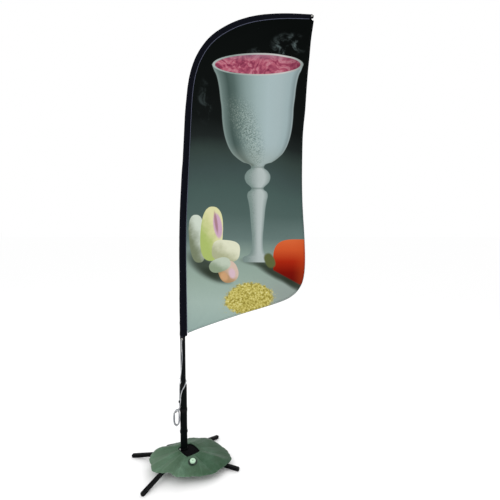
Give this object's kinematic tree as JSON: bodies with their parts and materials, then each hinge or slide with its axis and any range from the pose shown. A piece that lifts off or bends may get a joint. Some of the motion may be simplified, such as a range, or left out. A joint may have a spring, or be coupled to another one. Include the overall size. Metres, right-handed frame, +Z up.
{
  "type": "feather flag with pole",
  "caption": "Feather-shaped advertising flag on a curved sectional pole that swivels on a folding cross base weighted by a ring-shaped water bag.",
  "frame": {"origin": "on the pole's axis, at the centre of the flat underside of the spindle bolt's head, 47.5 mm above the floor", "axes": "+Z up along the pole, +X the way the flag flies from the pole, -Y the way its printed face looks"},
  "size_m": [1.1613, 0.6266, 2.7885],
  "materials": {
    "bar": "satin black powder coat",
    "foot": "matt black plastic",
    "steel": "zinc plated",
    "nylon": "white nylon",
    "tube": "black enamel",
    "pole": "black anodised",
    "rod": "dark glass fibre",
    "sleeve": "dark knitted polyester",
    "print": "printed polyester",
    "vinyl": "black coated reinforcement",
    "webbing": "black woven webbing",
    "nickel": "nickel plated",
    "cord": "white braided cord",
    "bag": "green coated cloth",
    "valve": "dark green plastic",
    "cap": "pale mint plastic"
  },
  "bodies": {
    "base": {"spindle_bolt": "steel", "bolt_washer": "steel", "lower_bar": "bar", "lower_bar_foot_right": "foot", "lower_bar_foot_left": "foot", "friction_washer": "nylon", "top_washer": "steel", "spindle_post": "bar", "water_bag": "bag", "hole_liner": "webbing", "bag_handle": "webbing", "valve_flange": "valve", "cap_seal": "foot"},
    "crossing_bar": {"upper_bar": "bar", "upper_bar_foot_back": "foot", "upper_bar_foot_front": "foot"},
    "cap": {"filler_cap": "cap"},
    "flag": {"lower_bush": "foot", "upper_bush": "nylon", "thrust_plug": "nylon", "rotator_tube": "tube", "rotator_collar": "tube", "lower_reducer": "foot", "upper_reducer": "foot", "pole_lower_section": "pole", "pole_middle_section": "pole", "pole_upper_section": "pole", "lower_joint_band": "foot", "upper_joint_band": "foot", "rod_ferrule": "foot", "flexible_tip_rod": "rod", "pole_tip_ball": "foot", "flag_sleeve": "sleeve", "flag_panel": "print", "edge_hem": "sleeve", "tip_cap": "vinyl", "tip_rivet": "nickel", "sleeve_tab": "webbing", "tab_eyelet": "nickel", "tension_cord": "cord", "cord_toggle": "foot", "hook_band": "foot", "cord_hook": "foot"}
  },
  "joints": [
    {"name": "flag_swivel", "type": "hinge", "parent": "base", "child": "flag", "pos_m": [0, 0, 0.06], "axis": [0, 0, 1], "continuous": true},
    {"name": "base_fold", "type": "hinge", "parent": "base", "child": "crossing_bar", "pos_m": [0, 0, 0.04], "axis": [0, 0, 1], "range_deg": [-50, 20]},
    {"name": "cap_turn", "type": "hinge", "parent": "base", "child": "cap", "pos_m": [0.07412, -0.13234, 0.04626], "axis": [0.0968, -0.2806, 0.9549], "range_deg": [0, 540]}
  ]
}
